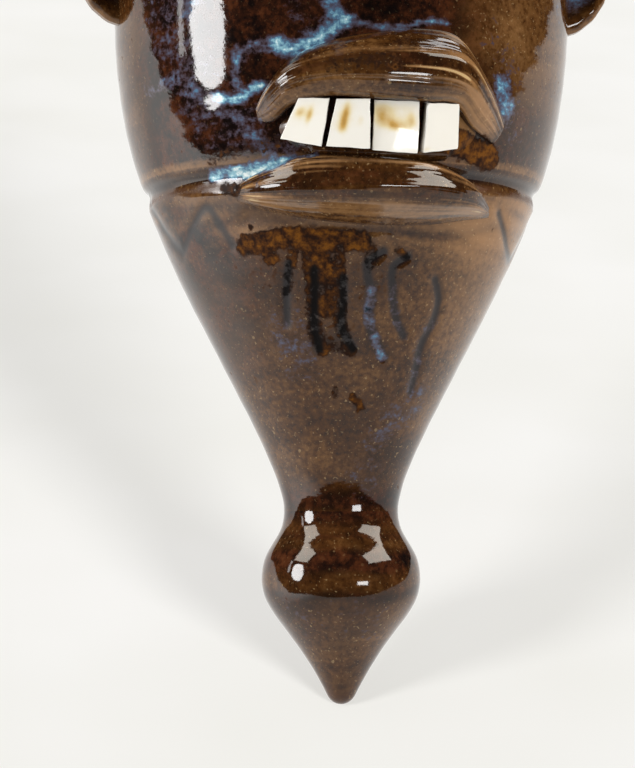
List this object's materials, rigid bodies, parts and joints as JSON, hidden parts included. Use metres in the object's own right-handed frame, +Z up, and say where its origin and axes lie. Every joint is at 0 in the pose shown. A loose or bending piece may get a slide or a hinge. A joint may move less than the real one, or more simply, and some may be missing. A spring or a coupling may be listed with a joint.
{
  "type": "face wall pocket",
  "caption": "Wall-hung pocket in glazed stoneware: a thrown cone with a flat slab back, a bulb finial and an applied face, open at the top to hold flowers or small things.",
  "frame": {"origin": "centre of the hanging hole on the flat back face", "axes": "+Z up along the height of the pocket, +Y into the wall, the face looks along -Y, +X to the viewer's right"},
  "size_m": [0.1564, 0.1114, 0.276],
  "materials": {
    "amber_glaze": "glossy dark amber-brown glaze with blue runs over speckled stoneware",
    "dark_glaze": "the same glaze pooled dark in the mouth",
    "tile_glaze": "glossy cream-white tile with amber stains",
    "white_slip": "white slip under a clear gloss"
  },
  "bodies": {
    "root": {"front_shell": "amber_glaze", "back_plate": "amber_glaze", "finial": "amber_glaze", "mouth_gum": "dark_glaze", "tooth_1": "tile_glaze", "tooth_2": "tile_glaze", "tooth_3": "tile_glaze", "tooth_4": "tile_glaze", "upper_lip": "amber_glaze", "lower_lip": "amber_glaze", "nose": "amber_glaze", "eyeball_left": "white_slip", "eyeball_right": "white_slip", "eyelid_upper_left": "amber_glaze", "eyelid_upper_right": "amber_glaze", "eyelid_lower_left": "amber_glaze", "eyelid_lower_right": "amber_glaze", "brow_left": "amber_glaze", "brow_right": "amber_glaze", "ear_left": "amber_glaze", "ear_right": "amber_glaze"}
  },
  "joints": []
}
